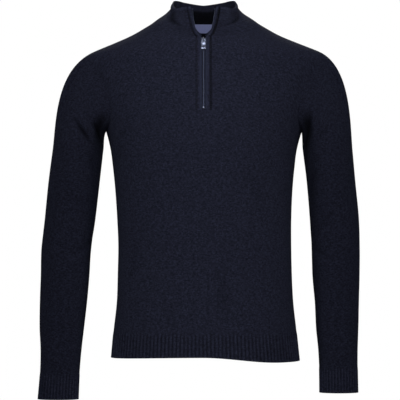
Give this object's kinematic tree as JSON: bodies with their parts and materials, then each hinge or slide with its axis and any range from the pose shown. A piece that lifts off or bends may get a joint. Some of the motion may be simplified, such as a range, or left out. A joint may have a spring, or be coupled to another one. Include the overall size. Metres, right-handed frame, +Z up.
{
  "type": "quarter zip sweater",
  "caption": "Fine knit sweater with a stand collar that opens with a short zip, ribbed hem and cuffs, hollow as worn, with a zip pull tab that swings.",
  "frame": {"origin": "middle of the neck, level with the point where the collar leaves the shoulders, which is where the wearer's shoulders hold the garment", "axes": "+Z up the wearer's neck, the front faces -Y, +X towards the wearer's left sleeve"},
  "size_m": [0.6268, 0.2385, 0.7771],
  "materials": {
    "plain_knit": "fine plain knit in navy wool and cotton, heathered",
    "rib_knit": "one-and-one rib in the same navy yarn",
    "zip_tape": "herringbone woven polyester tape",
    "label_cloth": "pale satin woven label, bare",
    "zip_metal": "polished nickel plate"
  },
  "bodies": {
    "garment": {"front_panel": "plain_knit", "back_panel": "plain_knit", "sleeve_right": "plain_knit", "sleeve_left": "plain_knit", "collar": "plain_knit", "hem_rib_front": "rib_knit", "hem_rib_back": "rib_knit", "cuff_right": "rib_knit", "cuff_left": "rib_knit", "neck_label": "label_cloth", "zip_tape_right": "zip_tape", "zip_tape_left": "zip_tape", "zip_chain": "zip_metal", "zip_teeth_right": "zip_metal", "zip_teeth_left": "zip_metal", "zip_bottom_stop": "zip_metal", "zip_top_stop_right": "zip_metal", "zip_top_stop_left": "zip_metal", "zip_slider": "zip_metal"},
    "pull": {"zip_pull": "zip_metal"}
  },
  "joints": [
    {"name": "pull_swing", "type": "hinge", "parent": "garment", "child": "pull", "pos_m": [0, -0.07648, -0.05122], "axis": [-1, 0, 0], "range_deg": [0, 150]}
  ]
}
